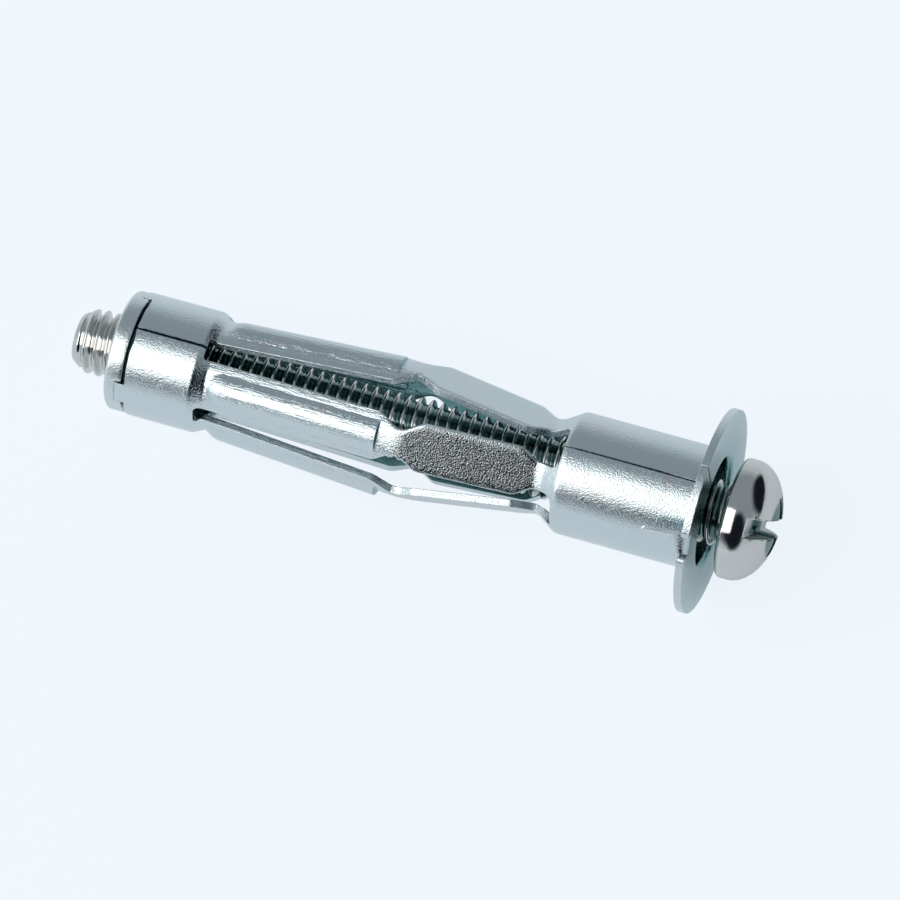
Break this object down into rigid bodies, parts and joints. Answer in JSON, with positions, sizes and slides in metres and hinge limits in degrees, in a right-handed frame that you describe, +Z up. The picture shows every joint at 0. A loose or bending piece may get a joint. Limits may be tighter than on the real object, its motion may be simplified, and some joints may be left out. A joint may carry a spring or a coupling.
{
  "type": "hollow wall anchor",
  "caption": "Metal hollow wall anchor: a slotted sheet sleeve with folding ribbed legs, a spiked flange and a nut in its tail, on a round-headed machine screw.",
  "frame": {"origin": "on the surface the anchor lies on, under the middle of its bounding box", "axes": "+X towards the screw's head, along the surface; +Y away from the side the anchor is usually seen from; +Z up. The anchor's own axis lies in the XZ plane and rises about 4 degrees towards the head, because the flange is wider than the barrel."},
  "size_m": [0.0639, 0.018, 0.0181],
  "materials": {
    "sleeve_zinc": "bright zinc plating on pressed sheet steel, fine orange peel",
    "nut_zinc": "bright zinc plating on turned steel",
    "screw_zinc": "bright zinc plating on cold-formed steel"
  },
  "bodies": {
    "sleeve": {"sleeve": "sleeve_zinc", "nut": "nut_zinc"},
    "screw": {"screw": "screw_zinc"}
  },
  "joints": [
    {"name": "screw_turn", "type": "hinge", "parent": "sleeve", "child": "screw", "pos_m": [-0.02581, 0, 0.00545], "axis": [-0.9976, 0, -0.0697], "continuous": true}
  ]
}
